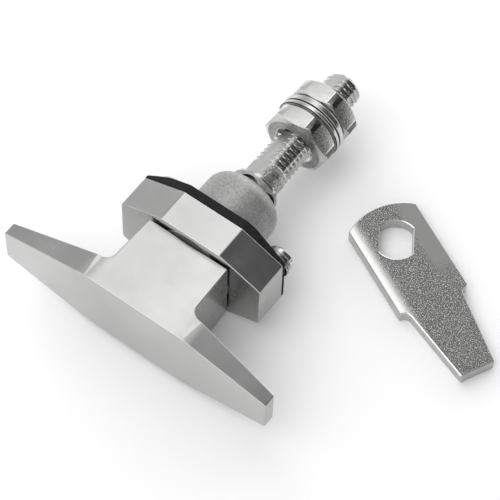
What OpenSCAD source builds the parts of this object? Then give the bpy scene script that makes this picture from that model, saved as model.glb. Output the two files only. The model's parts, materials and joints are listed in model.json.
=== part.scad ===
// Quarter-turn T-handle lock body for a cabinet door, with its loose cam plate.
// Frame: X along the T grip, Y along the spindle into the cabinet, Z up.
// The origin is on the spindle axis, on the face of the gasket that meets the door.

/* [T grip] */
// Length of the grip, tip to tip
grip_len = 78; // [70:1:110]
// Height of the grip over its middle flat
grip_mid_h = 21.4; // [20.4:0.1:24]
// Width of the middle flat of the grip
grip_mid_w = 28.6; // [27:0.2:40]
// Height of the grip at its tips
grip_end_h = 10.4; // [6:0.2:16]
// Thickness of the grip at its tips
grip_tip_t = 3.6; // [2:0.1:5]
// Thickness of the grip where it meets the stem
grip_root_t = 7.2; // [5:0.1:10]
// Front of the grip to the back end of the stem
grip_reach = 22.1; // [20:0.1:34]
// Radius between the grip and the stem
grip_fillet_r = 2.6; // [1:0.1:4]

/* [Stem] */
// Width of the stem at its back end
stem_w = 23.4; // [22:0.1:25]
// Widening of the stem toward the grip, each side
stem_flare = 0.5; // [0:0.1:1]
// Height of the stem at its back end
stem_h = 19.9; // [18:0.1:20.4]
// Running gap between the stem and the base
stem_gap = 0.25; // [0.15:0.05:0.5]

/* [Base] */
// Length of the base
base_len = 41.6; // [40:0.2:60]
// Height of the base over its middle flat
base_h = 25; // [24:0.2:32]
// Width of the middle flat of the base
base_mid_w = 17.3; // [12:0.1:24]
// Height of the base at its ends
base_end_h = 14.8; // [12:0.1:20]
// Thickness of the base
base_t = 9.2; // [9:0.1:14]
// Radius on the four corners of the base ends
base_corner_r = 0.8; // [0.2:0.1:2]
// Diameter of the raised land that the stem turns on
land_d = 21.2; // [18:0.2:23]
// Height of that land
land_h = 0.45; // [0.2:0.05:1]

/* [Boss] */
// Diameter of the boss that fills the door hole
boss_d = 20.5; // [19.2:0.1:22]
// Length of the boss beyond the door face
boss_len = 12.8; // [12:0.1:20]
// Length of the rounded shoulder at the end of the boss
boss_shoulder = 3.0; // [1:0.1:4]
// Diameter of the end of the boss
boss_end_d = 13.4; // [12.8:0.1:15]

/* [Gasket] */
// Thickness of the rubber gasket
gasket_t = 2.5; // [1:0.1:4]
// Gap between the boss and the gasket
gasket_gap = 0.1; // [0.05:0.05:0.5]
// How far the gasket stands back from the edge of the base
gasket_inset = 0.0; // [0:0.1:1]

/* [Journal and stop] */
// Diameter of the journal that turns in the base
journal_d = 15.6; // [15.2:0.1:16]
// Radial running clearance of the journal and of the spindle in the base
run_clear = 0.05; // [0.02:0.01:0.1]
// Thickness of the boss's end wall, which the spindle runs through
boss_wall = 6.1; // [5:0.1:7]
// End clearance of the journal in its bore
journal_end_gap = 0.2; // [0.1:0.05:0.5]
// Quarter turn that the stop slot allows
turn_angle = 90; // [45:5:120]
// Direction of the stop pin, from +Z toward +X
stop_dir = 135; // [0:5:355]
// Diameter of the stop pin
stop_d = 2; // [1.5:0.1:2.1]
// Length of the stop pin that stands in the slot
stop_reach = 2.8; // [2:0.1:3.5]
// Length of the stop pin that is pressed into the base
stop_seat = 3.5; // [2:0.1:4]
// Clearance around the stop pin in its slot
stop_clear = 0.3; // [0.15:0.05:0.5]

/* [Shaft seal] */
// Section diameter of the seal ring
seal_section = 1.8; // [1.4:0.1:2]
// Centre of the seal ring in front of the door face
seal_y = 9.2; // [8.6:0.1:9.8]
// Side clearance of the seal ring in its groove
seal_side = 0.2; // [0.1:0.05:0.4]

/* [Spindle] */
// Diameter of the spindle over its thread
spindle_d = 10; // [9.6:0.1:10.4]
// Width across the two flats of the spindle
spindle_af = 7.5; // [6.5:0.1:8.5]
// Direction of the first flat, from +Z toward +X
flat_dir = -37; // [-90:1:90]
// Depth of the spindle root in the end of the journal
spindle_root = 13.5; // [12:0.1:14]
// Length of the spindle beyond the outer nut
spindle_tail = 7.2; // [1:0.1:12]
// Chamfer on the free end of the spindle
spindle_chamfer = 0.9; // [0.2:0.1:1.5]
// Start of the flats behind the retaining ring
flat_start = 0.8; // [0.3:0.1:4]

/* [Cross pin] */
// Diameter of the pin that locks the spindle in the journal
cross_d = 3; // [2:0.1:3.4]
// Distance of that pin from the end of the journal
cross_depth = 6.7; // [6:0.1:7.5]
// How far each end of that pin stays below the journal surface
cross_inset = 0.3; // [0.1:0.1:1]

/* [Thrust ring] */
// Outer diameter of the arched thrust ring
thrust_d = 13.2; // [12:0.1:14]
// Thickness of the thrust ring
thrust_t = 1.7; // [1.4:0.1:3]
// Number of arches in the thrust ring
thrust_arches = 5; // [3:1:7]
// Height of each arch
arch_h = 1.0; // [0.4:0.1:1.2]
// Width of each arch, as an angle of the ring
arch_angle = 46; // [20:1:50]
// Direction of the first arch, from +Z toward +X
arch_dir = -6; // [-36:1:36]
// Gap between the boss and the thrust ring
thrust_gap = 0.1; // [0.05:0.05:0.3]

/* [Retaining ring] */
// Outer diameter of the retaining ring
clip_d = 12.4; // [11.4:0.1:13]
// Thickness of the retaining ring
clip_t = 0.9; // [0.6:0.1:1.5]
// Depth of the groove that holds the retaining ring
clip_depth = 0.45; // [0.2:0.05:0.8]
// Opening of the retaining ring
clip_opening = 4; // [2:0.2:6]

/* [Nuts] */
// Width across the flats of a nut
nut_af = 17; // [16:0.1:18]
// Height of a nut
nut_h = 6; // [4:0.1:8]
// Chamfer circle as a share of the width across flats
nut_face = 0.94; // [0.85:0.01:0.98]
// Radial clearance of the nuts on the spindle
nut_clear = 0.06; // [0.02:0.01:0.1]
// Direction of a corner of the nuts, from +Z toward +X
nut_dir = 23; // [-30:1:30]
// Free spindle between the retaining ring and the inner nut
nut_standoff = 15.4; // [11:0.1:40]

/* [Washers] */
// Outer diameter of the flat washer
washer_d = 18; // [16:0.1:20]
// Thickness of the flat washer
washer_t = 1.2; // [0.8:0.1:2]
// Outer diameter of the spring washer
spring_d = 17.8; // [15:0.1:19]
// Thickness of the spring washer
spring_t = 1.8; // [1:0.1:2.5]
// Width of the slit in a spring washer
spring_slit = 0.9; // [0.4:0.1:2]
// Direction of that slit in the spring washer under the outer nut, from +Z toward +X
spring_slit_dir = 215; // [0:5:355]
// Radial clearance of the washers on the spindle
washer_clear = 0.3; // [0.2:0.05:0.6]
// Gap between the two washers
stack_gap = 0.25; // [0.2:0.05:3]

/* [Fixing screws] */
// Distance of a fixing screw from the end of the base
screw_edge = 4.3; // [3.2:0.1:4.6]
// Thread diameter of a fixing screw
screw_d = 4; // [3:0.1:4]
// Length of the screw below its head
screw_len = 11; // [9:0.1:11.4]
// Head diameter of a fixing screw
screw_head_d = 7; // [6:0.1:7.4]
// Head height of a fixing screw
screw_head_h = 2.8; // [1.5:0.1:3]
// Outer diameter of the flat washer under a screw
screw_washer_d = 7.8; // [7:0.1:8]
// Thickness of that flat washer
screw_washer_t = 0.8; // [0.4:0.1:1]
// Outer diameter of the spring washer under a screw
screw_spring_d = 7.2; // [6.4:0.1:7.6]
// Thickness of that spring washer
screw_spring_t = 1.2; // [0.6:0.1:1.4]
// Width of the slit in that spring washer
screw_slit = 0.6; // [0.4:0.1:1]
// Direction of that slit under the left screw, from +Z toward +X
screw_slit_left = 150; // [0:5:355]
// Direction of that slit under the right screw, from +Z toward +X
screw_slit_right = 210; // [0:5:355]
// Clearance of the screw in its hole, gasket and washers
screw_clear = 0.05; // [0.02:0.01:0.2]
// Depth of the screw hole past the end of the screw
screw_hole_extra = 0.5; // [0.2:0.1:1]

/* [Cam plate] */
// Width of the cam plate at its head
cam_w = 19.1; // [17:0.1:24]
// Length of the head behind the hole centre
cam_head = 10.4; // [9:0.1:14]
// Radius of the head arc
cam_head_r = 15.8; // [12:0.1:30]
// Length of the straight sides past the hole centre
cam_side = 18.9; // [14:0.1:24]
// Length of the plate past the hole centre
cam_reach = 40.6; // [30:0.1:60]
// Width of the neck just past the shoulders
cam_neck_w = 15; // [12:0.1:16]
// Width of the tip
cam_tip_w = 9.4; // [6:0.1:12]
// Thickness of the plate
cam_t = 3.4; // [2:0.1:5]
// Radius in the two shoulders
cam_shoulder_r = 1.8; // [0.5:0.1:2]
// Radial clearance of the cam hole round the spindle
cam_clear = 0.5; // [0.1:0.05:0.6]
// Clearance of the cam hole at each spindle flat
cam_flat_clear = 0.35; // [0.1:0.05:0.5]
// Turn of the hole's flats from the long axis
cam_hole_dir = -30.8; // [-90:0.1:90]
// Where the plate lies, to the right of the spindle axis
cam_x = 33.5; // [33:0.1:60]
// Where the plate lies, behind the door face
cam_y = 28.6; // [28:0.1:50]
// Direction in which the plate points, from +X toward +Y
cam_dir = -26.3; // [-40:0.1:0]

/* [Hidden] */
round_fn = 96;
eps = 0.5;

// Stations along the spindle axis
base_back_y = -gasket_t;
base_front_y = base_back_y - base_t;
land_y = base_front_y - land_h;
stem_end_y = land_y - stem_gap;
grip_front_y = stem_end_y - grip_reach;
boss_end_y = boss_len;
bore_end_y = boss_end_y - boss_wall;
journal_end_y = bore_end_y - journal_end_gap;
thrust_y = boss_end_y + thrust_gap;
clip_y = thrust_y + thrust_t;
clip_end_y = clip_y + clip_t;
inner_nut_y = clip_end_y + nut_standoff;
inner_nut_end_y = inner_nut_y + nut_h;
flat_washer_end_y = inner_nut_end_y + washer_t;
spring_washer_y = flat_washer_end_y + stack_gap;
outer_nut_y = spring_washer_y + spring_t;
outer_nut_end_y = outer_nut_y + nut_h;
spindle_end_y = outer_nut_end_y + spindle_tail;
spindle_root_y = journal_end_y - spindle_root;
cross_pin_y = journal_end_y - cross_depth;
seal_centre_y = -seal_y;

// Radii that other pieces share
journal_r = journal_d / 2;
bore_r = journal_r + run_clear;
spindle_r = spindle_d / 2;
seal_groove_r = journal_r - seal_section;
stop_r = (spindle_r + journal_r) / 2 + 0.35;
stop_half_angle = asin((stop_d / 2 + stop_clear) / stop_r);
screw_x = base_len / 2 - screw_edge;
rest_z = -base_h / 2;

// Unit vector
function unit(v) = v / norm(v);

// Arc of radius r that rounds the corner at p between the directions u and v
function fillet(p, u, v, r, n) =
    let (h = acos(u * v) / 2, c = p + unit(u + v) * r / sin(h),
        a = p + u * r / tan(h) - c, b = p + v * r / tan(h) - c,
        from = atan2(a[1], a[0]), turn = atan2(b[1], b[0]) - from,
        sweep = turn > 180 ? turn - 360 : turn < -180 ? turn + 360 : turn)
    [for (i = [0:n]) c + r * [cos(from + sweep * i / n), sin(from + sweep * i / n)]];

// Outline with each corner rounded by its own radius, where 0 leaves it sharp
function rounded(pts, radii, n = 5) =
    let (k = len(pts))
    [for (i = [0:k - 1])
        each radii[i] > 0
            ? fillet(pts[i], unit(pts[(i + k - 1) % k] - pts[i]), unit(pts[(i + 1) % k] - pts[i]), radii[i], n)
            : [pts[i]]];

// Long octagon with flats at the middle of the top and bottom and at both ends
function octagon(half_len, end_h, half_flat, mid_h) =
    [[-half_len, end_h], [-half_flat, mid_h], [half_flat, mid_h], [half_len, end_h],
        [half_len, -end_h], [half_flat, -mid_h], [-half_flat, -mid_h], [-half_len, -end_h]];

// Extrudes an X-Z outline from y0 to y1
module slab(y0, y1) {
    translate([0, y1, 0]) rotate([90, 0, 0]) linear_extrude(height = y1 - y0) children();
}

// Revolves a profile of [radius, y] points about the spindle axis
module turned(profile) {
    rotate([-90, 0, 0]) rotate_extrude($fn = round_fn) polygon(profile);
}

// Cylinder on the spindle axis from y0 to y1
module rod(d, y0, y1) {
    translate([0, y0, 0]) rotate([-90, 0, 0]) cylinder(d = d, h = y1 - y0, $fn = round_fn);
}

// Plain ring on the spindle axis
module ring(outer_d, inner_d, y0, y1) {
    difference() {
        rod(outer_d, y0, y1);
        rod(inner_d, y0 - eps, y1 + eps);
    }
}

// The two flats along the spindle, as the slabs that the cutter removes
module flat_cuts(r, af, y0, y1) {
    rotate([0, flat_dir, 0]) for (s = [1, -1])
        translate([-r - eps, y0, s > 0 ? af / 2 : -af / 2 - r])
            cube([2 * r + 2 * eps, y1 - y0, r]);
}

// Sector of the journal end that the stop pin travels in
module stop_sector() {
    from = stop_dir - turn_angle - stop_half_angle;
    to = stop_dir + stop_half_angle;
    far = journal_d;
    steps = 12;
    difference() {
        polygon([[0, 0], for (i = [0:steps]) let (a = from + (to - from) * i / steps) far * [sin(a), cos(a)]]);
        circle(r = stop_r - stop_d / 2 - stop_clear, $fn = round_fn);
    }
}

// Plan outline of the T grip and its stem, in X and Y
function t_plan() =
    let (half = grip_len / 2, root_w = stem_w / 2 + stem_flare, tip_y = grip_front_y + grip_tip_t,
        root_y = grip_front_y + grip_root_t)
    rounded([[half, grip_front_y], [half, tip_y], [root_w, root_y], [stem_w / 2, stem_end_y],
            [-stem_w / 2, stem_end_y], [-root_w, root_y], [-half, tip_y], [-half, grip_front_y]],
        [0, 0.6, grip_fillet_r, 0, 0, grip_fillet_r, 0.6, 0]);

// T grip, stem and journal, one casting
module handle() {
    color("gainsboro") difference() {
        union() {
            intersection() {
                translate([0, 0, -grip_mid_h]) linear_extrude(height = 2 * grip_mid_h) polygon(t_plan());
                slab(grip_front_y - eps, stem_end_y + eps)
                    polygon(octagon(grip_len / 2 + eps, grip_end_h / 2 - eps * (grip_mid_h - grip_end_h)
                        / (grip_len - grip_mid_w), grip_mid_w / 2, grip_mid_h / 2));
                translate([-grip_len, 0, 0]) rotate([90, 0, 90]) linear_extrude(height = 2 * grip_len)
                    polygon([[grip_front_y, -grip_mid_h / 2], [grip_front_y, grip_mid_h / 2],
                        [stem_end_y, stem_h / 2], [stem_end_y, -stem_h / 2]]);
            }
            rod(journal_d, stem_end_y - eps, journal_end_y);
        }
        rod(spindle_d, spindle_root_y, journal_end_y + eps);
        turned([[seal_groove_r, seal_centre_y - seal_section / 2 - seal_side],
            [journal_r + eps, seal_centre_y - seal_section / 2 - seal_side],
            [journal_r + eps, seal_centre_y + seal_section / 2 + seal_side],
            [seal_groove_r, seal_centre_y + seal_section / 2 + seal_side]]);
        translate([0, cross_pin_y, -journal_d]) cylinder(d = cross_d, h = 2 * journal_d, $fn = round_fn);
        slab(bore_end_y - stop_reach - stop_clear, journal_end_y + eps) stop_sector();
    }
}

// Threaded spindle with two flats, a root in the journal and a groove for the retaining ring
module spindle() {
    color("lightgray") difference() {
        turned([[0, spindle_root_y], [spindle_r, spindle_root_y],
            [spindle_r, clip_y], [spindle_r - clip_depth, clip_y],
            [spindle_r - clip_depth, clip_end_y], [spindle_r, clip_end_y],
            [spindle_r, spindle_end_y - spindle_chamfer],
            [spindle_r - spindle_chamfer, spindle_end_y], [0, spindle_end_y]]);
        flat_cuts(spindle_r, spindle_af, clip_end_y + flat_start, spindle_end_y + eps);
        translate([0, cross_pin_y, -spindle_d]) cylinder(d = cross_d, h = 2 * spindle_d, $fn = round_fn);
    }
}

// Pin through the journal and the spindle root
module cross_pin() {
    half = journal_r - cross_inset;
    color("silver") translate([0, cross_pin_y, -half]) cylinder(d = cross_d, h = 2 * half, $fn = round_fn);
}

// Rubber ring in the groove of the journal
module shaft_seal() {
    color("dimgray") translate([0, seal_centre_y, 0]) rotate([-90, 0, 0])
        rotate_extrude($fn = round_fn) translate([journal_r - seal_section / 2, 0])
            circle(d = seal_section, $fn = 32);
}

// Octagonal base with the boss that fills the door hole
module base() {
    steps = 6;
    end_r = boss_end_d / 2;
    rise = boss_d / 2 - end_r;
    corner = boss_end_y - boss_shoulder;
    color("gainsboro") difference() {
        union() {
            slab(base_front_y, base_back_y)
                polygon(rounded(octagon(base_len / 2, base_end_h / 2, base_mid_w / 2, base_h / 2),
                    [base_corner_r, 0, 0, base_corner_r, base_corner_r, 0, 0, base_corner_r]));
            rod(land_d, land_y, base_front_y + eps);
            turned([[0, base_back_y - eps], [boss_d / 2, base_back_y - eps],
                for (i = [0:steps]) let (a = 90 * i / steps)
                    [end_r + rise * cos(a), corner + boss_shoulder * sin(a)],
                [0, boss_end_y]]);
        }
        rod(2 * bore_r, land_y - eps, bore_end_y);
        rod(spindle_d + 2 * run_clear, bore_end_y - eps, boss_end_y + eps);
        rotate([0, stop_dir, 0]) translate([0, 0, stop_r]) rod(stop_d, bore_end_y - eps, bore_end_y + stop_seat);
        for (s = [-1, 1]) translate([s * screw_x, 0, 0])
            rod(screw_d + 2 * screw_clear, screw_tip_y() - screw_hole_extra, base_back_y + eps);
    }
}

// Pin that stops the journal at both ends of the turn
module stop_pin() {
    color("silver") rotate([0, stop_dir, 0]) translate([0, 0, stop_r])
        rod(stop_d, bore_end_y - stop_reach, bore_end_y + stop_seat);
}

// Rubber gasket between the base and the door
module gasket() {
    color([0.12, 0.12, 0.13]) difference() {
        slab(base_back_y, 0)
            polygon(rounded(octagon(base_len / 2 - gasket_inset, base_end_h / 2 - gasket_inset,
                    base_mid_w / 2, base_h / 2 - gasket_inset),
                [base_corner_r, 0, 0, base_corner_r, base_corner_r, 0, 0, base_corner_r]));
        rod(boss_d + 2 * gasket_gap, base_back_y - eps, eps);
        for (s = [-1, 1]) translate([s * screw_x, 0, 0])
            rod(screw_d + 2 * screw_clear, base_back_y - eps, eps);
    }
}

// Thrust ring with arches toward the boss
module thrust_ring() {
    r = thrust_d / 2;
    half = r * sin(arch_angle / 2);
    arch_r = (half * half + arch_h * arch_h) / (2 * arch_h);
    color("silver") difference() {
        ring(thrust_d, spindle_d, thrust_y, clip_y);
        for (i = [0:thrust_arches - 1]) rotate([0, arch_dir + 360 * i / thrust_arches, 0])
            translate([0, thrust_y + arch_h - arch_r, spindle_r * 0.7])
                cylinder(r = arch_r, h = r, $fn = round_fn);
    }
}

// Open ring that snaps into the groove of the spindle
module retaining_ring() {
    color("darkgray") difference() {
        ring(clip_d, spindle_d - 2 * clip_depth, clip_y, clip_end_y);
        rotate([0, flat_dir, 0]) translate([-clip_opening / 2, clip_y - eps, -clip_d])
            cube([clip_opening, clip_t + 2 * eps, clip_d]);
    }
}

// Hexagon nut with both faces chamfered
module hex_nut(y) {
    corner_r = nut_af / sqrt(3);
    face_r = nut_af / 2 * nut_face;
    over = corner_r + 0.1;
    drop = (over - face_r) * tan(30);
    bore_d = spindle_d + 2 * nut_clear;
    mouth = 0.5;
    difference() {
        intersection() {
            translate([0, y, 0]) rotate([0, nut_dir, 0]) rotate([-90, 0, 0]) rotate([0, 0, 90])
                cylinder(r = corner_r, h = nut_h, $fn = 6);
            turned([[0, y], [face_r, y], [over, y + drop], [over, y + nut_h - drop],
                [face_r, y + nut_h], [0, y + nut_h]]);
        }
        rod(bore_d, y - eps, y + nut_h + eps);
        for (s = [0, 1]) translate([0, y + s * nut_h, 0]) rotate([s > 0 ? 90 : -90, 0, 0])
            translate([0, 0, -mouth]) cylinder(d1 = bore_d + 4 * mouth, d2 = bore_d, h = 2 * mouth, $fn = round_fn);
    }
}

// Split spring washer on the spindle axis, with a slanted slit
module split_washer(outer_d, inner_d, y, t, slit, dir) {
    difference() {
        ring(outer_d, inner_d, y, y + t);
        rotate([0, dir, 0]) translate([0, y + t / 2, outer_d / 2]) rotate([0, 0, 30])
            cube([slit, 3 * t, outer_d], center = true);
    }
}

module inner_nut() {
    color("silver") hex_nut(inner_nut_y);
}

module flat_washer() {
    color("lightgray") ring(washer_d, spindle_d + 2 * washer_clear, inner_nut_end_y, flat_washer_end_y);
}

module spring_washer() {
    color("lightgray")
        split_washer(spring_d, spindle_d + 2 * washer_clear, spring_washer_y, spring_t, spring_slit,
            spring_slit_dir);
}

module outer_nut() {
    color("silver") hex_nut(outer_nut_y);
}

// Seats of the pieces under a fixing screw's head
function screw_spring_y() = screw_washer_t;
function screw_head_y() = screw_washer_t + screw_spring_t;
function screw_tip_y() = screw_head_y() - screw_len;

// Domed screw with a cross recess, pointing into the base at side s
module fixing_screw(s) {
    y = screw_head_y();
    r = screw_head_d / 2;
    rim = screw_head_h * 0.4;
    steps = 5;
    arm = screw_head_d * 0.5;
    slot = screw_head_d * 0.13;
    translate([s * screw_x, 0, 0]) difference() {
        union() {
            turned([[0, y], [r, y], for (i = [0:steps]) let (a = 60 * i / steps)
                [r * cos(a) + r * 0.12 * sin(a), y + rim + (screw_head_h - rim) * sin(a) / sin(60)],
                [0, y + screw_head_h]]);
            rod(screw_d, screw_tip_y(), y + rim / 2);
        }
        for (a = [0, 90]) rotate([0, a, 0]) translate([-arm / 2, y + screw_head_h * 0.45, -slot / 2])
            cube([arm, screw_head_h, slot]);
    }
}

module screw_left() {
    color("lightgray") fixing_screw(-1);
}

module screw_right() {
    color("lightgray") fixing_screw(1);
}

module screw_spring_left() {
    color("silver") translate([-screw_x, 0, 0])
        split_washer(screw_spring_d, screw_d + 2 * screw_clear, screw_spring_y(), screw_spring_t,
            screw_slit, screw_slit_left);
}

module screw_spring_right() {
    color("silver") translate([screw_x, 0, 0])
        split_washer(screw_spring_d, screw_d + 2 * screw_clear, screw_spring_y(), screw_spring_t,
            screw_slit, screw_slit_right);
}

module screw_washer_left() {
    color("lightgray") translate([-screw_x, 0, 0])
        ring(screw_washer_d, screw_d + 2 * screw_clear, 0, screw_washer_t);
}

module screw_washer_right() {
    color("lightgray") translate([screw_x, 0, 0])
        ring(screw_washer_d, screw_d + 2 * screw_clear, 0, screw_washer_t);
}

// Outline of the cam plate, along its long axis from the centre of its hole
function cam_outline() =
    let (half = cam_w / 2, arc_x = cam_head_r - cam_head, lean = asin(half / cam_head_r), n = 10,
        side = rounded([[arc_x - cam_head_r * cos(lean), half], [cam_side, half],
                [cam_side + 0.7, cam_neck_w / 2], [cam_reach, cam_tip_w / 2], [cam_reach, 0]],
            [0, 0.6, cam_shoulder_r, 0.5, 0]))
    concat([for (i = [-n + 1:n - 1]) let (a = lean * i / n) [arc_x - cam_head_r * cos(a), cam_head_r * sin(a)]],
        side, [for (i = [len(side) - 2:-1:0]) [side[i][0], -side[i][1]]]);

// Cam plate with its two-flat hole, lying flat on the surface that the base lies on
module cam() {
    color("silver") translate([cam_x, cam_y, rest_z]) rotate([0, 0, cam_dir]) difference() {
        linear_extrude(height = cam_t) polygon(cam_outline());
        translate([0, 0, -eps]) linear_extrude(height = cam_t + 2 * eps) rotate(cam_hole_dir)
            intersection() {
                circle(r = spindle_r + cam_clear, $fn = round_fn);
                square([2 * spindle_d, spindle_af + 2 * cam_flat_clear], center = true);
            }
    }
}

handle();
spindle();
cross_pin();
shaft_seal();
base();
stop_pin();
gasket();
thrust_ring();
retaining_ring();
inner_nut();
flat_washer();
spring_washer();
outer_nut();
screw_left();
screw_right();
screw_spring_left();
screw_spring_right();
screw_washer_left();
screw_washer_right();
cam();
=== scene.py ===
"""Looks of a T-handle lock body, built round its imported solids.

Lengths are in metres. X runs along the T grip, Y along the spindle into the cabinet, Z up.
Angles round the spindle start at +Z and turn toward +X.
"""

import json
import math

import bmesh
import bpy
from mathutils import Matrix, Vector

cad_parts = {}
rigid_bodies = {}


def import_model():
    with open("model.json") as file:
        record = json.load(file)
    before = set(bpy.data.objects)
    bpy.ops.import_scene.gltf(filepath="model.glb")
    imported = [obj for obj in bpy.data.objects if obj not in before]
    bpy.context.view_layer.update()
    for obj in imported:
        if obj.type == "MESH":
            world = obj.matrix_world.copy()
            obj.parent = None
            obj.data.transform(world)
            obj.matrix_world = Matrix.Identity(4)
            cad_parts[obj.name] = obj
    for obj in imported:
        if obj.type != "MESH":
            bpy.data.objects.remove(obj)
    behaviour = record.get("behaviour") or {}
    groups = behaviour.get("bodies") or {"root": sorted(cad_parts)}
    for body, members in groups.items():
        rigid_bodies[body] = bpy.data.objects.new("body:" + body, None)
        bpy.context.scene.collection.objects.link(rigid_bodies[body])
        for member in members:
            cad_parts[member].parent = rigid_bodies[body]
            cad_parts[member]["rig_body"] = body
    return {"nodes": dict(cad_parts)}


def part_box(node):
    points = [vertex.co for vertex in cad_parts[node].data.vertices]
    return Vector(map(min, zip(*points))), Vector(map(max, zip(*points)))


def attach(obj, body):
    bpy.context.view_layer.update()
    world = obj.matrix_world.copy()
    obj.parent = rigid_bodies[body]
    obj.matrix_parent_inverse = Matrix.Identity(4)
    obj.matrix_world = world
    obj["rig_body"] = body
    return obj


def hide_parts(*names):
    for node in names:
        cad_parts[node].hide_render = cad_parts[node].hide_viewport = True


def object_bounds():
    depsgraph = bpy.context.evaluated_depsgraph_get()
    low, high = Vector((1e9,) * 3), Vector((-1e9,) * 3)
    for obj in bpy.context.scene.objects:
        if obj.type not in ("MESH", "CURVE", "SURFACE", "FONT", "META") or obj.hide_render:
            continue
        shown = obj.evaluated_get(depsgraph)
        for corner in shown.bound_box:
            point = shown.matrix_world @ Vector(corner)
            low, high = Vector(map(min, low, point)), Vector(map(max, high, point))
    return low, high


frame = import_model()
CAD_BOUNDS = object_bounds()
MM = 0.001

# Camera, at the photograph's angle
CAMERA_AZIMUTH = 34.552
CAMERA_ELEVATION = 59.390
CAMERA_ROLL = 2.111
CAMERA_DISTANCE = 607.23 * MM
CAMERA_TARGET = Vector((9.346, -0.111, 0)) * MM
CAMERA_LENS = 180
CAMERA_SENSOR = 36

# Thread of the spindle and the nuts
PITCH = 1.5 * MM
THREAD_DEPTH = 0.613 * PITCH
NUT_THREAD_DEPTH = 0.541 * PITCH
CREST_FLAT = 1 / 8
ROOT_FLAT = 1 / 6
THREAD_STEPS = 12
THREAD_START = 20.2 * MM
THREAD_RUN_IN = 1.6 * MM

# Spindle
SPINDLE_R = 5 * MM
SPINDLE_HALF_AF = 3.75 * MM
FLAT_DIRECTION = -37
FLAT_START = 0.8 * MM
CLIP_DEPTH = 0.45 * MM
SPINDLE_CHAMFER = 0.9 * MM
ROOT_CHAMFER = 0.3 * MM
FLAT_STEP = 0.001 * MM
LEAST_COSINE = 0.1
FLAT_TURN = 0.995

# Columns round half of the spindle: on a flat, where the thread meets it, and on the round
FLAT_COLUMNS = 6
FLANK_COLUMNS = 12
ROUND_COLUMNS = 26

# Nuts
NUT_HALF_AF = 8.5 * MM
NUT_FACE_SHARE = 0.92
NUT_FRONT_CHAMFER = 30
NUT_BACK_CHAMFER = 40
NUT_FRONT_CORNER_R = 9.78 * MM
NUT_BACK_CORNER_R = 9.25 * MM
NUT_CORNER_DIRECTION = 23
NUT_CLEARANCE = 0.06 * MM
NUT_MOUTH = 0.5 * MM
NUT_EDGE = 0.12 * MM
NUT_EDGE_IN = 0.15
NUT_COLUMNS = 24

# Nut faces that get painted light and shade: how far inside its flats a blunt corner lies and
# how far outside its mouth (painted shade), and how much a rim (painted highlight), a chamfer and
# an end face (both painted shade) turn toward the spindle's axis
NUT_BLUNT = 0.02 * MM
NUT_MOUTH_SHARE = 1.2
RIM_TURN = 0.15
CHAMFER_TURN = 0.72
FACE_TURN = 0.95

# Grip: where its wings start to fall away, how fast, and half the width of the soft bend there
WING_X = 14.3 * MM
WING_FALL = 5.5 / 24.7
WING_BEND = 2.8 * MM
WING_STEPS = 6
WING_LOWEST = 8 * MM

# Boss: radius, the solid's shoulder and end, the rounder shoulder drawn inside it, how far off
# the solid's curve a point may lie, and where the boss's finish starts
BOSS_R = 10.25 * MM
BOSS_CORNER_Y = 9.8 * MM
BOSS_END_Y = 12.8 * MM
BOSS_END_R = 6.7 * MM
SHOULDER_Y = 8.3 * MM
SHOULDER_END_R = 5.9 * MM
CORNER_SLACK = 0.01 * MM
END_SLACK = 0.05 * MM
BOSS_ROOT = 0.4 * MM
BOSS_SHARE = 1.01

# Land in front of the base: height and radius in the solid and as drawn, how wide its edge is,
# and up to which share of its height it is painted dark, as painted shade
LAND_H = 0.45 * MM
LAND_R = 10.6 * MM
LAND_DRAWN_R = 11.5 * MM
LAND_DRAWN_H = 0.15 * MM
LAND_BAND = 0.6 * MM
LAND_SHARE = 0.8

# Thrust ring: the radius inside which it gets painted shade, and how much a face with painted
# shade turns to the boss
ARCH_R = 5.5 * MM
ARCH_TURN = 0.3

# Gasket: its thickness, how much thinner it gets at its ends, how the left end's thinning
# grows, and between which places
GASKET_T = 2.5 * MM
PINCH_DEPTH = 1.6 * MM
PINCH_POWER = 1.25
PINCH_LEFT = [-x * MM for x in (14.3, 15, 16, 17, 18, 19, 20, 20.8)]
PINCH_RIGHT = [x * MM for x in (11, 13, 15, 17, 19, 20.8)]

# Fixing screws: radius of the head and height of its dome
HEAD_R = 3.95 * MM
HEAD_DOME = 3.2 * MM

# Cam plate: centre of its hole, its direction and half its width, how far its rolled side, smooth
# and with a painted highlight, and its worn side reach in, how far along the plate the wear goes,
# and the width of its rolled edge, where the rounded edge gets no painted highlight
CAM_CENTRE = Vector((33.5, 28.6, 0)) * MM
CAM_DIRECTION = -26.3
CAM_HALF_WIDTH = 9.55 * MM
ROLLED_HIGHLIGHT_WIDTH = 4.2 * MM
WORN_WIDTH = 7 * MM
CAM_SIDE = 18.9 * MM
ROLLED_EDGE = 0.6 * MM

# Skin of the cam plate: places and greys of its grain, colours of its worn side and of its rolled
# side, the rolled side's light tone being a painted highlight, and how high the grain is
GRAIN_TONES = [(0.38, 0.1), (0.54, 0.2), (0.67, 0.8)]
WORN_TONE = (0.22, 0.22, 0.216)
ROLLED_HIGHLIGHT_TONE = (0.72, 0.72, 0.71)
GRAIN_HEIGHT = 0.16 * MM

# How much a cam plate's face, a rounded edge with a painted highlight and its right side turn to
# Z, Z and X
PLATE_TURN = 0.99
PLATE_EDGE_TURN = 0.2
PLATE_RIGHT_TURN = 0.1

# How much an end or a front turns to its axis, which then gets painted shade, and a washer's
# rounding, painted dark as shade, to the spindle's
END_TURN = 0.9
ROUNDING_TURN = (0.5, 0.99)

# Edges: the least angle of one between two flats and of any other, how wide a flat is, and
# what counts as the same point and the same flat in a solid
BLUNT = 8
BEND = 24
FLAT_WIDTH = 2 * MM
WELD = 0.002 * MM
SAME_FLAT = 0.4

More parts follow.
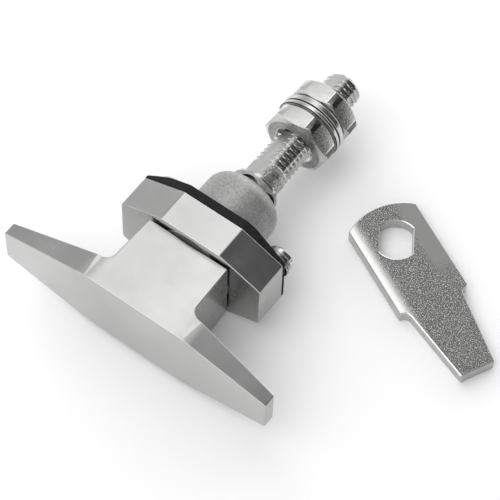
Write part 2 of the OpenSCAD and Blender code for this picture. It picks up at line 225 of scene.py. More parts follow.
# Widths of the rounded edges
CAST_EDGE = 0.28 * MM
GASKET_EDGE = 0.3 * MM
FLAT_WASHER_EDGE = 0.32 * MM
SPRING_WASHER_EDGE = 0.42 * MM
THRUST_RING_EDGE = 0.1 * MM
CLIP_EDGE = 0.12 * MM
SCREW_EDGE = 0.12 * MM
SCREW_WASHER_EDGE = 0.1 * MM
CAM_EDGE = 0.3 * MM

# Usual span of a noise, and how much finer a metal's roughness varies than its colour
NOISE_LOW = 0.3
NOISE_HIGH = 0.7
FINER = 3.1


def node_span(node, axis):
    """Lowest and highest coordinate of a CAD node along one axis."""
    low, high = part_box(node)
    return low[axis], high[axis]


def node_material(name):
    """An empty node material: the material, its tree and its shader."""
    material = bpy.data.materials.new(name)
    material.use_nodes = True
    return material, material.node_tree, material.node_tree.nodes["Principled BSDF"]


def noise(tree, scale, detail=3.0, stretch=(1, 1, 1)):
    """Noise over the object's own coordinates, finer along an axis with more stretch."""
    place = tree.nodes.new("ShaderNodeTexCoord")
    mapping = tree.nodes.new("ShaderNodeMapping")
    mapping.inputs["Scale"].default_value = stretch
    texture = tree.nodes.new("ShaderNodeTexNoise")
    texture.inputs["Scale"].default_value = scale
    texture.inputs["Detail"].default_value = detail
    tree.links.new(place.outputs["Object"], mapping.inputs["Vector"])
    tree.links.new(mapping.outputs["Vector"], texture.inputs["Vector"])
    return texture.outputs["Fac"]


def spread(tree, value, low, high):
    """The value mapped from its usual span to low and high."""
    span = tree.nodes.new("ShaderNodeMapRange")
    span.inputs["From Min"].default_value = NOISE_LOW
    span.inputs["From Max"].default_value = NOISE_HIGH
    span.inputs["To Min"].default_value = low
    span.inputs["To Max"].default_value = high
    tree.links.new(value, span.inputs["Value"])
    return span.outputs["Result"]


def grey_ramp(tree, value, dark, light):
    """A grey between dark and light that follows the value."""
    ramp = tree.nodes.new("ShaderNodeValToRGB")
    ramp.color_ramp.elements[0].position = NOISE_LOW
    ramp.color_ramp.elements[0].color = (*dark, 1)
    ramp.color_ramp.elements[1].position = NOISE_HIGH
    ramp.color_ramp.elements[1].color = (*light, 1)
    tree.links.new(value, ramp.inputs["Fac"])
    return ramp.outputs["Color"]


def bump(tree, height, distance, after=None):
    """A bump of the given height in metres, on top of an earlier one."""
    node = tree.nodes.new("ShaderNodeBump")
    node.inputs["Distance"].default_value = distance
    tree.links.new(height, node.inputs["Height"])
    if after is not None:
        tree.links.new(after, node.inputs["Normal"])
    return node.outputs["Normal"]


def metal(name, dark, light, rough, cloud=150, grain=None, streak=None):
    """Bare or plated metal: clouded colour and roughness, with a grain and streaks as bumps.

    rough is the lowest and highest roughness; grain and streak are (scale, height[, stretch]).
    """
    material, tree, shader = node_material(name)
    shader.inputs["Metallic"].default_value = 1
    clouds = noise(tree, cloud, detail=4)
    tree.links.new(grey_ramp(tree, clouds, dark, light), shader.inputs["Base Color"])
    fine = noise(tree, cloud * FINER, detail=5)
    tree.links.new(spread(tree, fine, *rough), shader.inputs["Roughness"])
    normal = None
    if grain:
        normal = bump(tree, noise(tree, grain[0], detail=3), grain[1])
    if streak:
        lines = noise(tree, streak[0], detail=4, stretch=streak[2])
        normal = bump(tree, lines, streak[1], after=normal)
    if normal is not None:
        tree.links.new(normal, shader.inputs["Normal"])
    return material


def matt_dark_skin(name, dark, light):
    """Matt black skin with fine pimples: rubber, and also the land's painted shade."""
    material, tree, shader = node_material(name)
    skin = noise(tree, 900, detail=5)
    tree.links.new(grey_ramp(tree, skin, dark, light), shader.inputs["Base Color"])
    shader.inputs["Specular IOR Level"].default_value = 0.22
    tree.links.new(spread(tree, skin, 0.6, 0.8), shader.inputs["Roughness"])
    tree.links.new(bump(tree, noise(tree, 2600, detail=3), 0.03 * MM), shader.inputs["Normal"])
    return material


def plate_distance(tree, angle):
    """Distance from the cam plate's hole in the plate's plane, at an angle from its long axis."""
    place = tree.nodes.new("ShaderNodeTexCoord")
    along = tree.nodes.new("ShaderNodeVectorMath")
    along.operation = "DOT_PRODUCT"
    turn = math.radians(CAM_DIRECTION + angle)
    toward = Vector((math.cos(turn), math.sin(turn), 0))
    along.inputs[1].default_value = toward
    tree.links.new(place.outputs["Object"], along.inputs[0])
    shift = tree.nodes.new("ShaderNodeMath")
    shift.operation = "SUBTRACT"
    shift.inputs[1].default_value = toward.dot(CAM_CENTRE)
    tree.links.new(along.outputs["Value"], shift.inputs[0])
    return shift.outputs[0]


def fade(tree, value, none, full):
    """0 where the value is none, 1 where it is full, and smooth between."""
    span = tree.nodes.new("ShaderNodeMapRange")
    span.interpolation_type = "SMOOTHSTEP"
    span.inputs["From Min"].default_value = none
    span.inputs["From Max"].default_value = full
    tree.links.new(value, span.inputs["Value"])
    return span.outputs["Result"]


def mix(tree, share, low, high, kind="RGBA"):
    """A colour or number that goes from low to high with the share; either may be a constant."""
    node = tree.nodes.new("ShaderNodeMix")
    node.data_type = kind
    slots = [i for i in node.inputs if i.enabled]
    tree.links.new(share, slots[0])
    for slot, value in zip(slots[1:], (low, high)):
        if isinstance(value, bpy.types.NodeSocket):
            tree.links.new(value, slot)
        else:
            slot.default_value = (*value, 1) if kind == "RGBA" else value
    return next(o for o in node.outputs if o.enabled)


def hammered_plate(name):
    """Plate over a tumbled blank: a coarse sparkling grain, smooth where it is rolled and worn,
    with a painted highlight on the rolled side.
    """
    material, tree, shader = node_material(name)
    shader.inputs["Metallic"].default_value = 1
    grains = noise(tree, 4300, detail=2)
    ramp = tree.nodes.new("ShaderNodeValToRGB")
    ramp.color_ramp.elements.new(0.5)
    for element, (place, grey) in zip(ramp.color_ramp.elements, GRAIN_TONES):
        element.position = place
        element.color = (grey, grey, grey * 0.985, 1)
    tree.links.new(grains, ramp.inputs["Fac"])
    side = plate_distance(tree, 90)
    rolled_and_highlight = fade(tree, side, -CAM_HALF_WIDTH + ROLLED_HIGHLIGHT_WIDTH, -CAM_HALF_WIDTH + ROLLED_HIGHLIGHT_WIDTH * 0.15)
    edge = fade(tree, side, CAM_HALF_WIDTH - WORN_WIDTH, CAM_HALF_WIDTH - WORN_WIDTH * 0.5)
    head = fade(tree, plate_distance(tree, 0), CAM_SIDE, CAM_SIDE * 0.4)
    both = tree.nodes.new("ShaderNodeMath")
    both.operation = "MULTIPLY"
    tree.links.new(edge, both.inputs[0])
    tree.links.new(head, both.inputs[1])
    worn = both.outputs[0]
    colour = mix(tree, worn, ramp.outputs["Color"], WORN_TONE)
    # The rolled side's light tone is a painted highlight
    colour = mix(tree, rolled_and_highlight, colour, ROLLED_HIGHLIGHT_TONE)
    tree.links.new(colour, shader.inputs["Base Color"])
    rough = mix(tree, worn, spread(tree, noise(tree, 700), 0.26, 0.38), 0.3, kind="FLOAT")
    tree.links.new(mix(tree, rolled_and_highlight, rough, 0.22, kind="FLOAT"), shader.inputs["Roughness"])
    smooth = tree.nodes.new("ShaderNodeMath")
    smooth.operation = "MAXIMUM"
    tree.links.new(rolled_and_highlight, smooth.inputs[0])
    tree.links.new(worn, smooth.inputs[1])
    height = mix(tree, smooth.outputs[0], grains, 0.5, kind="FLOAT")
    tree.links.new(bump(tree, height, GRAIN_HEIGHT), shader.inputs["Normal"])
    return material


SATIN = metal(
    "satin_steel", (0.485, 0.485, 0.48), (0.575, 0.575, 0.57), (0.2, 0.28), cloud=45,
)
# A darker copy of the satin steel: painted shade on the fronts and ends of the base and grip and
# on the sides of the stem
SATIN_PAINTED_SHADE = metal(
    "satin_steel_painted_shade", (0.38, 0.38, 0.375), (0.43, 0.43, 0.425), (0.22, 0.3), cloud=55,
)
BLASTED = metal(
    "blasted_steel", (0.35, 0.35, 0.345), (0.51, 0.51, 0.505), (0.46, 0.62), cloud=1700,
    grain=(2200, 0.12 * MM),
)
TURNED = metal(
    "turned_steel", (0.56, 0.56, 0.55), (0.68, 0.68, 0.67), (0.1, 0.18), cloud=420,
    grain=(3000, 0.008 * MM),
)
MILLED = metal(
    "milled_steel", (0.4, 0.4, 0.395), (0.5, 0.5, 0.49), (0.3, 0.4), cloud=200,
)
SHANK = metal(
    "rough_shank", (0.26, 0.26, 0.255), (0.7, 0.7, 0.69), (0.22, 0.36), cloud=1300,
    grain=(2000, 0.2 * MM),
)
NUT_PLATE = metal(
    "nut_plate", (0.74, 0.74, 0.725), (0.84, 0.84, 0.825), (0.12, 0.2), cloud=380,
    streak=(1500, 0.02 * MM, (1, 7, 1)),
)
# Copies of the nut's plating lit differently: painted shade on chamfers, end faces and blunt
# corners, a painted highlight on the rims
NUT_CHAMFER_SHADE = metal(
    "nut_chamfer_painted_shade", (0.46, 0.46, 0.455), (0.6, 0.6, 0.59), (0.2, 0.3), cloud=420,
)
NUT_RIM_HIGHLIGHT = metal(
    "nut_rim_painted_highlight", (0.84, 0.84, 0.83), (0.92, 0.92, 0.91), (0.08, 0.14), cloud=380,
)
NUT_FACE_SHADE = metal(
    "nut_face", (0.26, 0.26, 0.255), (0.38, 0.38, 0.375), (0.24, 0.34), cloud=500,
    grain=(2000, 0.015 * MM),
)
NUT_CORNER_SHADE = metal(
    "nut_corner_painted_shade", (0.1, 0.1, 0.098), (0.18, 0.18, 0.176), (0.2, 0.3), cloud=420,
)
# Near-black steel: painted shade in the grooves between washers and in the thrust ring's slots
GROOVE_SHADE = metal(
    "groove_painted_shade", (0.05, 0.05, 0.049), (0.12, 0.12, 0.118), (0.4, 0.55), cloud=600,
)
WASHER_PLATE = metal(
    "washer_plate", (0.54, 0.54, 0.53), (0.68, 0.68, 0.67), (0.16, 0.26), cloud=520,
    grain=(2600, 0.01 * MM),
)
SCREW = metal(
    "screw_steel", (0.62, 0.62, 0.61), (0.72, 0.72, 0.71), (0.08, 0.16), cloud=500,
)
# Darker steel for the screws' washers: painted shade under the screw heads
SCREW_WASHER_SHADE = metal(
    "screw_washer_painted_shade", (0.3, 0.3, 0.295), (0.42, 0.42, 0.415), (0.2, 0.32), cloud=500,
)
PIN = metal(
    "pin_steel", (0.5, 0.5, 0.49), (0.6, 0.6, 0.59), (0.25, 0.35), cloud=600,
    grain=(4000, 0.006 * MM),
)
PLATE = hammered_plate("hammered_plate")
# Light steel on the rounded edges that don't face right: a painted highlight
PLATE_EDGE_HIGHLIGHT = metal(
    "plate_edge_painted_highlight", (0.84, 0.84, 0.83), (0.92, 0.92, 0.91), (0.14, 0.22), cloud=300,
)
PLATE_SIDE = metal(
    "blanked_plate_side", (0.42, 0.42, 0.415), (0.5, 0.5, 0.495), (0.28, 0.36), cloud=300,
    streak=(900, 0.02 * MM, (6, 6, 1)),
)
RUBBER = matt_dark_skin("black_rubber", (0.004, 0.004, 0.004), (0.018, 0.018, 0.018))
# Dark skin on the land in front of the base: painted shade in the gap behind the stem
LAND_SHADE = matt_dark_skin("land_painted_shade", (0.06, 0.06, 0.06), (0.13, 0.13, 0.128))


def finish_mesh(mesh, materials, sharp=38, pick=None):
    """Gives a mesh its materials and smooth shading, with edges kept where it turns sharply.

    pick(centre, normal) gives the index of a face's material.
    """
    mesh.materials.clear()
    for material in materials:
        mesh.materials.append(material)
    for polygon in mesh.polygons:
        polygon.use_smooth = True
        polygon.material_index = pick(polygon.center, polygon.normal) if pick else 0
    mesh.set_sharp_from_angle(angle=math.radians(sharp))


def add_piece(name, mesh, node, weighted=True):
    """An object in the place of a CAD node, riding on that node's body."""
    piece = bpy.data.objects.new(name, mesh)
    bpy.context.scene.collection.objects.link(piece)
    if weighted:
        modifier = piece.modifiers.new("normals", "WEIGHTED_NORMAL")
        modifier.keep_sharp = True
    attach(piece, frame["nodes"][node]["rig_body"])
    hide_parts(node)
    return piece


def dressed(name, node, materials, width, segments=3, pick=None, shape=None):
    """A copy of a CAD node with its edges rounded by width.

    shape(form) may change the rounded form; pick is as in finish_mesh.
    """
    form = bmesh.new()
    form.from_mesh(frame["nodes"][node].data)
    bmesh.ops.remove_doubles(form, verts=form.verts, dist=WELD)
    bmesh.ops.dissolve_limit(
        form, angle_limit=math.radians(SAME_FLAT), verts=form.verts, edges=form.edges
    )
    bmesh.ops.recalc_face_normals(form, faces=form.faces)

    def between_flats(edge):
        """Whether both faces at an edge are wide, as no facet of a curve is."""
        return min(f.calc_area() for f in edge.link_faces) > FLAT_WIDTH * edge.calc_length()

    edges = [
        e for e in form.edges
        if len(e.link_faces) == 2
        and e.calc_face_angle(0) > math.radians(BLUNT if between_flats(e) else BEND)
    ]
    bmesh.ops.bevel(
        form, geom=edges, offset=width, segments=segments, profile=0.5,
        affect="EDGES", clamp_overlap=False,
    )
    if shape:
        shape(form)
    mesh = bpy.data.meshes.new(name)
    form.to_mesh(mesh)
    form.free()
    finish_mesh(mesh, materials, pick=pick)
    return add_piece(name, mesh, node)


def thread_cut(y, theta, depth):
    """How deep the thread cuts at a place on the spindle: 0 on a crest, depth in a root."""
    turn = (y / PITCH - theta / (2 * math.pi)) % 1
    away = min(turn, 1 - turn)
    flank = (away - CREST_FLAT / 2) / (0.5 - CREST_FLAT / 2 - ROOT_FLAT / 2)
    return depth * min(max(flank, 0), 1)


def steps_between(start, end, count):
    """Evenly spaced values from start up to, but without, end."""
    return [start + (end - start) * i / count for i in range(count)]


def spindle_angles():
    """Angles round the spindle: fine where the thread meets the flats, coarse elsewhere."""
    crest = math.degrees(math.acos(SPINDLE_HALF_AF / SPINDLE_R))
    root = math.degrees(math.acos(min(1, SPINDLE_HALF_AF / (SPINDLE_R - THREAD_DEPTH))))
    half = [
        *steps_between(-root, root, FLAT_COLUMNS),
        *steps_between(root, crest + 1, FLANK_COLUMNS),
        *steps_between(crest + 1, 180 - crest - 1, ROUND_COLUMNS),
        *steps_between(180 - crest - 1, 180 - root, FLANK_COLUMNS),
    ]
    return [math.radians(FLAT_DIRECTION + a + side) for side in (0, 180) for a in half]


def lathe(name, angles, rows, closed):
    """A surface round the Y axis: each row gives (radius, y) at an angle.

    A closed form joins its last row to its first; otherwise both ends are capped.
    """
    form = bmesh.new()
    rings = []
    for row in rows:
        ring = []
        for a in angles:
            r, y = row(a)
            ring.append(form.verts.new((r * math.sin(a), y, r * math.cos(a))))
        rings.append(ring)
    pairs = list(zip(rings, rings[1:]))
    if closed:
        pairs.append((rings[-1], rings[0]))
    for lower, upper in pairs:
        for i, v in enumerate(lower):
            j = (i + 1) % len(lower)
            form.faces.new((v, lower[j], upper[j], upper[i]))
    if not closed:
        form.faces.new(rings[0][::-1])
        form.faces.new(rings[-1])
    bmesh.ops.recalc_face_normals(form, faces=form.faces)
    mesh = bpy.data.meshes.new(name)
    form.to_mesh(mesh)
    form.free()
    return mesh


def make_spindle():
    """The spindle with its thread, flats, clip groove and chamfered end."""
    start, end = node_span("spindle", 1)
    clip_start, clip_end = node_span("retaining_ring", 1)
    flats = clip_end + FLAT_START

    def round_row(r, y):
        return lambda a: (r, y)

    def cut_row(y):
        def row(a):
            run_in = min(1, max(0, (y - THREAD_START) / THREAD_RUN_IN))
            r = SPINDLE_R - thread_cut(y, a, THREAD_DEPTH) * run_in
            r = min(r, SPINDLE_R - SPINDLE_CHAMFER + (end - y))
            across = abs(math.cos(a - math.radians(FLAT_DIRECTION)))
            return (min(r, SPINDLE_HALF_AF / max(across, LEAST_COSINE)), y)
        return row

    groove_r = SPINDLE_R - CLIP_DEPTH
    rows = [
        round_row(SPINDLE_R - ROOT_CHAMFER, start), round_row(SPINDLE_R, start + ROOT_CHAMFER),
        round_row(SPINDLE_R, clip_start), round_row(groove_r, clip_start),
        round_row(groove_r, clip_end), round_row(SPINDLE_R, clip_end), round_row(SPINDLE_R, flats),
    ]
    rows += [cut_row(y) for y in steps_between(flats + FLAT_STEP, THREAD_START, 6)]
    count = round((end - THREAD_START) / PITCH * THREAD_STEPS)
    rows += [cut_row(y) for y in steps_between(THREAD_START, end, count)]
    rows.append(cut_row(end))
    mesh = lathe("spindle_threaded", spindle_angles(), rows, closed=False)
    turn = math.radians(FLAT_DIRECTION)
    flat_normal = Vector((math.sin(turn), 0, math.cos(turn)))

    def spindle_finish(centre, normal):
        if abs(normal.dot(flat_normal)) > FLAT_TURN:
            return 1
        return 2 if flats < centre.y < THREAD_START + THREAD_RUN_IN / 2 else 0

    finish_mesh(mesh, [TURNED, MILLED, SHANK], sharp=30, pick=spindle_finish)
    add_piece("spindle_threaded", mesh, "spindle", weighted=False)


def nut_angles():
    """Angles round a nut, with a column on each corner."""
    corner = [math.radians(NUT_CORNER_DIRECTION + 60 * i) for i in range(6)]
    return [c + math.radians(60) * i / NUT_COLUMNS for c in corner for i in range(NUT_COLUMNS)]


def make_nut(name, node):
    """A hexagon nut with both faces chamfered, a countersunk mouth and its thread."""
    start, end = node_span(node, 1)
    face_r = NUT_HALF_AF * NUT_FACE_SHARE
    bore_r = SPINDLE_R + NUT_CLEARANCE
    mouth_r = bore_r + NUT_MOUTH
    slopes = {
        start: math.tan(math.radians(NUT_FRONT_CHAMFER)),
        end: math.tan(math.radians(NUT_BACK_CHAMFER)),
    }
    corner_rs = {start: NUT_FRONT_CORNER_R, end: NUT_BACK_CORNER_R}

    def hex_r(a, face):
        turn = (a - math.radians(NUT_CORNER_DIRECTION)) % math.radians(60)
        return min(NUT_HALF_AF / math.cos(turn - math.radians(30)), corner_rs[face])

    def outer(face, inward, along):
        """Row on the chamfer's far edge, moved inward and along the nut."""
        sign = 1 if face == start else -1

        def row(a):
            r = hex_r(a, face)
            return (r - inward, face + sign * ((r - face_r) * slopes[face] + along))
        return row

    def flat(face, r):
        return lambda a: (r, face)

    def bore(y):
        def row(a):
            thread = bore_r - thread_cut(y, a, NUT_THREAD_DEPTH)
            mouth = mouth_r - min(y - start, end - y)
            return (max(thread, mouth), y)
        return row

    edge = NUT_EDGE
    rows = [flat(start, mouth_r + edge), flat(start, face_r)]
    rows += [
        outer(start, edge, -edge * slopes[start]), outer(start, edge * NUT_EDGE_IN, 0),
        outer(start, 0, edge),
    ]
    rows += [
        outer(end, 0, edge), outer(end, edge * NUT_EDGE_IN, 0),
        outer(end, edge, -edge * slopes[end]),
    ]
    rows += [flat(end, face_r), flat(end, mouth_r + edge)]
    count = round((end - start) / PITCH * THREAD_STEPS)
    rows += [bore(y) for y in reversed([*steps_between(start, end, count), end])]
    mesh = lathe(name, nut_angles(), rows, closed=True)

    def nut_finish(centre, normal):
        r, lean = math.hypot(centre.x, centre.z), abs(normal.y)
        turn = math.atan2(centre.x, centre.z) - math.radians(NUT_CORNER_DIRECTION)
        flat_r = NUT_HALF_AF / math.cos(turn % math.radians(60) - math.radians(30))
        blunt = mouth_r * NUT_MOUTH_SHARE < r < flat_r - NUT_BLUNT
        # Blunt corners get painted shade, rims a painted highlight, chamfers and end faces painted
        # shade
        if blunt and lean < RIM_TURN and turn > -math.radians(30):
            return 5
        if r < mouth_r + edge:
            return 4
        if lean > FACE_TURN:
            return 3
        if lean > CHAMFER_TURN:
            return 2
        return 1 if lean > RIM_TURN else 0

    finish_mesh(
        mesh, [NUT_PLATE, NUT_RIM_HIGHLIGHT, NUT_CHAMFER_SHADE, NUT_FACE_SHADE, TURNED, NUT_CORNER_SHADE], sharp=18,
        pick=nut_finish,
    )
    add_piece(name, mesh, node, weighted=False)


def cut_across(form, x):
    """Cuts a form's faces along the plane at x, so that they can bend there."""
    bmesh.ops.bisect_plane(
        form, geom=[*form.verts, *form.edges, *form.faces], plane_co=(x, 0, 0),
        plane_no=(1, 0, 0),
    )


def pinch_gasket(form):
    """Thins the gasket toward its ends, where the screws pinch it."""
    for x in (*PINCH_LEFT, *PINCH_RIGHT):
        cut_across(form, x)
    for vert in form.verts:
        x, y, _ = vert.co
        left = max(0, (PINCH_LEFT[0] - x) / (PINCH_LEFT[0] - PINCH_LEFT[-1])) ** PINCH_POWER
        right = (x - PINCH_RIGHT[0]) / (PINCH_RIGHT[-1] - PINCH_RIGHT[0])
        share = min(1, max(0, left, right))
        if y > -GASKET_T / 2:
            vert.co.y = y - PINCH_DEPTH * share


def round_shoulder(form):
    """Rounds the end of the boss further than its solid."""
    for vert in form.verts:
        x, y, z = vert.co
        r = math.hypot(x, z)
        if y < BOSS_CORNER_Y - CORNER_SLACK or r < BOSS_END_R - END_SLACK:
            continue
        lift = min(1, max(0, (y - BOSS_CORNER_Y) / (BOSS_END_Y - BOSS_CORNER_Y)))
        out = math.sqrt(1 - lift ** 2)
        new_r = SHOULDER_END_R + (BOSS_R - SHOULDER_END_R) * out
        vert.co = (x * new_r / r, SHOULDER_Y + (BOSS_END_Y - SHOULDER_Y) * lift, z * new_r / r)


def soften_wings(form):
    """Turns the crease at the root of each wing into a soft bend."""
    for side in (-1, 1):
        for i in range(WING_STEPS + 1):
            cut_across(form, side * (WING_X + WING_BEND * (2 * i / WING_STEPS - 1)))
    for vert in form.verts:
        x, y, z = vert.co
        past = abs(x) - WING_X
        if abs(past) > WING_BEND or abs(z) < WING_LOWEST:
            continue
        drop = WING_FALL * ((past + WING_BEND) ** 2 / (4 * WING_BEND) - max(0, past))
        vert.co.z = z - math.copysign(drop, z)


def shape_base(form):
    """Rounds the boss, and draws the land wider and lower than its solid."""
    round_shoulder(form)
    front = min(v.co.y for v in form.verts)
    for vert in form.verts:
        x, y, z = vert.co
        if y > front + 2 * LAND_H:
            continue
        r = math.hypot(x, z)
        grow = LAND_DRAWN_R / LAND_R if abs(r - LAND_R) < LAND_BAND else 1
        above = y - front
        lower = min(above, LAND_H) * (1 - LAND_DRAWN_H / LAND_H)
        vert.co = (x * grow, y - lower, z * grow)


def round_head(form):
    """Rounds a fixing screw's head to a full dome."""
    centre = sum(v.co.x for v in form.verts) / len(form.verts)
    top = max(v.co.y for v in form.verts)
    for vert in form.verts:
        away = math.hypot(vert.co.x - centre, vert.co.z) / HEAD_R
        dome = top - HEAD_DOME * (1 - math.sqrt(max(0, 1 - away ** 2)))
        vert.co.y = min(vert.co.y, dome)


def make_lock():
    """Every piece of the lock body and its cam plate."""
    _, door_face = node_span("gasket", 1)
    base_front, _ = node_span("base", 1)
    cam_turn = math.radians(CAM_DIRECTION)
    cam_across = Vector((-math.sin(cam_turn), math.cos(cam_turn), 0))

    def handle_finish(_, normal):
        # Ends of the grip and sides of the stem get painted shade
        return 1 if abs(normal.x) > END_TURN else 0

    def base_finish(place, normal):
        # The land's front face gets painted shade
        if place.y < base_front + LAND_DRAWN_H * LAND_SHARE:
            return 2
        on_boss = math.hypot(place.x, place.z) < BOSS_R * BOSS_SHARE
        if on_boss and place.y > door_face - BOSS_ROOT:
            return 1
        # The base's front and ends get painted shade
        return 3 if normal.y < -END_TURN or abs(normal.x) > END_TURN else 0

    def washer_finish(_, normal):
        # The rounding between washers gets painted shade
        return 1 if ROUNDING_TURN[0] < abs(normal.y) < ROUNDING_TURN[1] else 0

    def arch_finish(place, normal):
        # Faces toward the boss and inside the arches get painted shade
        return 1 if normal.y < -ARCH_TURN or math.hypot(place.x, place.z) < ARCH_R else 0

    def cam_finish(place, normal):
        if abs(normal.z) > PLATE_TURN:
            return 0
        on_rolled_edge = cam_across.dot(place - CAM_CENTRE) < -CAM_HALF_WIDTH + ROLLED_EDGE
        # Rounded edges that don't face right get a painted highlight
        edge_highlight = abs(normal.z) > PLATE_EDGE_TURN and normal.x < PLATE_RIGHT_TURN
        return 2 if edge_highlight and not on_rolled_edge else 1

    dressed(
        "handle_satin", "handle", [SATIN, SATIN_PAINTED_SHADE], CAST_EDGE,
        pick=handle_finish, shape=soften_wings,
    )
    dressed(
        "base_satin", "base", [SATIN, BLASTED, LAND_SHADE, SATIN_PAINTED_SHADE], CAST_EDGE,
        pick=base_finish, shape=shape_base,
    )
    dressed("gasket_rubber", "gasket", [RUBBER], GASKET_EDGE, shape=pinch_gasket)
    make_spindle()
    make_nut("inner_nut_threaded", "inner_nut")
    make_nut("outer_nut_threaded", "outer_nut")
    for washer, width in (
        ("flat_washer", FLAT_WASHER_EDGE), ("spring_washer", SPRING_WASHER_EDGE),
    ):
        dressed(
            f"{washer}_edged", washer, [WASHER_PLATE, GROOVE_SHADE], width,
            pick=washer_finish,
        )
    dressed(
        "thrust_ring_edged", "thrust_ring", [BLASTED, GROOVE_SHADE], THRUST_RING_EDGE,
        segments=2, pick=arch_finish,
    )
    dressed("retaining_ring_edged", "retaining_ring", [WASHER_PLATE], CLIP_EDGE)
    for side in ("left", "right"):
        dressed(
            f"screw_{side}_edged", f"screw_{side}", [SCREW], SCREW_EDGE, segments=2,
            shape=round_head,
        )
        for kind in ("spring", "washer"):
            # The washers under the heads get painted shade
            dressed(
                f"screw_{kind}_{side}_edged", f"screw_{kind}_{side}", [SCREW_WASHER_SHADE],
                SCREW_WASHER_EDGE,
            )
    dressed(
        "cam_plate_edged", "cam", [PLATE, PLATE_SIDE, PLATE_EDGE_HIGHLIGHT], CAM_EDGE,
        pick=cam_finish,
    )
    for node, material in (("cross_pin", PIN), ("stop_pin", PIN), ("shaft_seal", RUBBER)):
        mesh = frame["nodes"][node].data
        mesh.materials.clear()
        mesh.materials.append(material)


# Studio: a white world and floor, a scrim overhead, a wall on each side and a card behind and
# in front. Each card is a corner, the side along which its light changes and the other side.
# Each light is a list of (place along that side, strength), with the scrim's places in metres.
FLOOR_SIZE = 8.0
FLOOR_GAP = 0.1 * MM
FLOOR_ALBEDO = 0.95
FLOOR_LIFT = 0.04
SCRIM_HEIGHT = 1.0
SCRIM_LEFT = -1.7
SCRIM_RIGHT = 1.1
SCRIM_FRONT = -0.1
SCRIM_BACK = 1.4
SCRIM_LIGHT = [
    (-1.7, 0.5), (-0.95, 0.5), (-0.62, 0.8), (-0.48, 1.42), (-0.2, 1.62), (0.02, 0.78),
    (0.15, 0.33), (0.32, 0.13), (0.5, 0.1), (1.1, 0.1),
]
BACK_CARD = ((-1.1, 1.7, 0.02), (1.6, 0, 0), (0, 0, 0.8))
FRONT_CARD = ((-0.9, -1.0, SCRIM_HEIGHT), (1.1, 0, 0), (0, 0.85, 0))
BACK_CARD_LIGHT = [(0, 1.2), (0.2, 2.6), (0.8, 2.6), (1, 1.2)]
FRONT_CARD_LIGHT = [(0, 1.2), (0.3, 2.2), (0.7, 2.2), (1, 1.2)]
LEFT_WALL_LIGHT = [(0, 1.05), (0.5, 0.78), (1, 0.56)]
RIGHT_WALL_LIGHT = [(0, 0.06), (0.3, 0.08), (1, 0.09)]
LAMP_TOWARD = (-0.75, 0.35, 0.56)
LAMP_DISTANCE = 0.9
LAMP_SIZE = 0.6
LAMP_POWER = 2.2


def light_path_sum(tree):
    """1 for rays from the camera, a mirror or glass, and 0 for the rest."""
    path = tree.nodes.new("ShaderNodeLightPath")
    total = path.outputs["Is Camera Ray"]
    for kind in ("Is Glossy Ray", "Is Transmission Ray"):
        add = tree.nodes.new("ShaderNodeMath")
        add.operation = "ADD"
        add.use_clamp = True
        tree.links.new(total, add.inputs[0])
        tree.links.new(path.outputs[kind], add.inputs[1])
        total = add.outputs[0]
    return total


def make_floor():
    """A plain white floor that keeps the object's shadow."""
    material = bpy.data.materials.new("white_floor")
    material.use_nodes = True
    tree = material.node_tree
    tree.nodes.clear()
    output = tree.nodes.new("ShaderNodeOutputMaterial")
    matt = tree.nodes.new("ShaderNodeBsdfDiffuse")
    matt.inputs["Color"].default_value = (FLOOR_ALBEDO, FLOOR_ALBEDO, FLOOR_ALBEDO, 1)
    lift = tree.nodes.new("ShaderNodeEmission")
    strength = tree.nodes.new("ShaderNodeMath")
    strength.operation = "MULTIPLY"
    strength.inputs[1].default_value = FLOOR_LIFT
    tree.links.new(light_path_sum(tree), strength.inputs[0])
    tree.links.new(strength.outputs[0], lift.inputs["Strength"])
    both = tree.nodes.new("ShaderNodeAddShader")
    tree.links.new(matt.outputs[0], both.inputs[0])
    tree.links.new(lift.outputs[0], both.inputs[1])
    tree.links.new(both.outputs[0], output.inputs["Surface"])
    mesh = bpy.data.meshes.new("floor")
    half = FLOOR_SIZE / 2
    z = CAD_BOUNDS[0].z - FLOOR_GAP
    mesh.from_pydata(
        [(-half, -half, z), (half, -half, z), (half, half, z), (-half, half, z)], [],
        [(0, 1, 2, 3)],
    )
    mesh.materials.append(material)
    floor = bpy.data.objects.new("floor", mesh)
    bpy.context.scene.collection.objects.link(floor)


def make_world():
    """A white world at strength 1."""
    world = bpy.data.worlds.new("white_world")
    bpy.context.scene.world = world
    world.use_nodes = True
    background = world.node_tree.nodes["Background"]
    background.inputs["Color"].default_value = (1, 1, 1, 1)
    background.inputs["Strength"].default_value = 1


def scrim_material(name, light):
    """Light that changes along the card's own X: (share of the width, strength) in order."""
    material = bpy.data.materials.new(name)
    material.use_nodes = True
    tree = material.node_tree
    tree.nodes.clear()
    output = tree.nodes.new("ShaderNodeOutputMaterial")
    glow = tree.nodes.new("ShaderNodeEmission")
    place = tree.nodes.new("ShaderNodeTexCoord")
    parts = tree.nodes.new("ShaderNodeSeparateXYZ")
    ramp = tree.nodes.new("ShaderNodeValToRGB")
    ramp.color_ramp.interpolation = "B_SPLINE"
    brightest = max(level for _, level in light)
    while len(ramp.color_ramp.elements) < len(light):
        ramp.color_ramp.elements.new(0.5)
    for element, (place_along, level) in zip(ramp.color_ramp.elements, light):
        element.position = place_along
        element.color = (level / brightest, level / brightest, level / brightest, 1)
    glow.inputs["Strength"].default_value = brightest
    tree.links.new(place.outputs["Generated"], parts.inputs[0])
    tree.links.new(parts.outputs["X"], ramp.inputs["Fac"])
    tree.links.new(ramp.outputs["Color"], glow.inputs["Color"])
    tree.links.new(glow.outputs[0], output.inputs["Surface"])
    return material


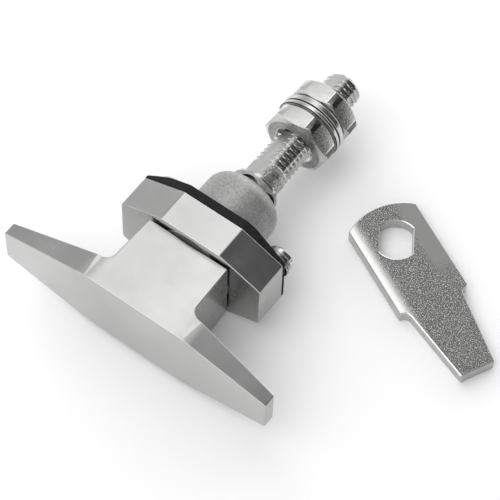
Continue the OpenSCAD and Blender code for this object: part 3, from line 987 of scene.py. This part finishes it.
def make_scrim(name, corner, along, across, light):
    """A glowing card that the camera doesn't see, its light changing along one side."""
    corner, along, across = Vector(corner), Vector(along), Vector(across)
    width, height = along.length, across.length
    mesh = bpy.data.meshes.new(name)
    mesh.from_pydata(
        [(0, 0, 0), (width, 0, 0), (width, height, 0), (0, height, 0)], [], [(0, 1, 2, 3)]
    )
    mesh.materials.append(scrim_material(name, light))
    card = bpy.data.objects.new(name, mesh)
    x, y = along.normalized(), across.normalized()
    turn = Matrix((x, y, x.cross(y))).transposed().to_4x4()
    card.matrix_world = Matrix.Translation(corner) @ turn
    bpy.context.scene.collection.objects.link(card)
    card.visible_camera = False


def make_lamp():
    """A soft lamp at the front left, which lights the floor and casts the shadow."""
    data = bpy.data.lights.new("front_lamp", "AREA")
    data.shape = "SQUARE"
    data.size = LAMP_SIZE
    data.energy = LAMP_POWER
    lamp = bpy.data.objects.new("front_lamp", data)
    direction = Vector(LAMP_TOWARD).normalized()
    turn = direction.to_track_quat("Z", "Y").to_matrix().to_4x4()
    lamp.matrix_world = Matrix.Translation(direction * LAMP_DISTANCE) @ turn
    bpy.context.scene.collection.objects.link(lamp)
    lamp.visible_glossy = False


def make_studio():
    """The world, the floor, the scrim, the walls, the cards and the lamp."""
    make_world()
    make_floor()
    width = SCRIM_RIGHT - SCRIM_LEFT
    depth = SCRIM_BACK - SCRIM_FRONT
    top_light = [((x - SCRIM_LEFT) / width, level) for x, level in SCRIM_LIGHT]
    floor_z = CAD_BOUNDS[0].z
    rise = (0, 0, SCRIM_HEIGHT - floor_z)
    inward = (0, depth, 0)
    make_scrim(
        "overhead_scrim", (SCRIM_LEFT, SCRIM_FRONT, SCRIM_HEIGHT), (width, 0, 0), inward, top_light
    )
    make_scrim("left_wall", (SCRIM_LEFT, SCRIM_FRONT, floor_z), rise, inward, LEFT_WALL_LIGHT)
    make_scrim("right_wall", (SCRIM_RIGHT, SCRIM_FRONT, floor_z), rise, inward, RIGHT_WALL_LIGHT)
    make_scrim("back_card", *BACK_CARD, BACK_CARD_LIGHT)
    make_scrim("front_card", *FRONT_CARD, FRONT_CARD_LIGHT)
    make_lamp()


def make_camera():
    """The camera at the photograph's viewing angle."""
    azimuth, elevation = math.radians(CAMERA_AZIMUTH), math.radians(CAMERA_ELEVATION)
    level = Vector((math.cos(azimuth), math.sin(azimuth), 0))
    back = Vector((
        math.sin(azimuth) * math.cos(elevation), -math.cos(azimuth) * math.cos(elevation),
        math.sin(elevation),
    ))
    right = Matrix.Rotation(math.radians(CAMERA_ROLL), 3, back) @ level
    up = back.cross(right)
    data = bpy.data.cameras.new("camera")
    data.lens = CAMERA_LENS
    data.sensor_width = CAMERA_SENSOR
    camera = bpy.data.objects.new("camera", data)
    camera.matrix_world = Matrix.Translation(CAMERA_TARGET + back * CAMERA_DISTANCE) @ Matrix(
        (right, up, back)
    ).transposed().to_4x4()
    bpy.context.scene.collection.objects.link(camera)
    bpy.context.scene.camera = camera


make_camera()
make_lock()
make_studio()
bpy.context.scene.view_settings.view_transform = "Standard"
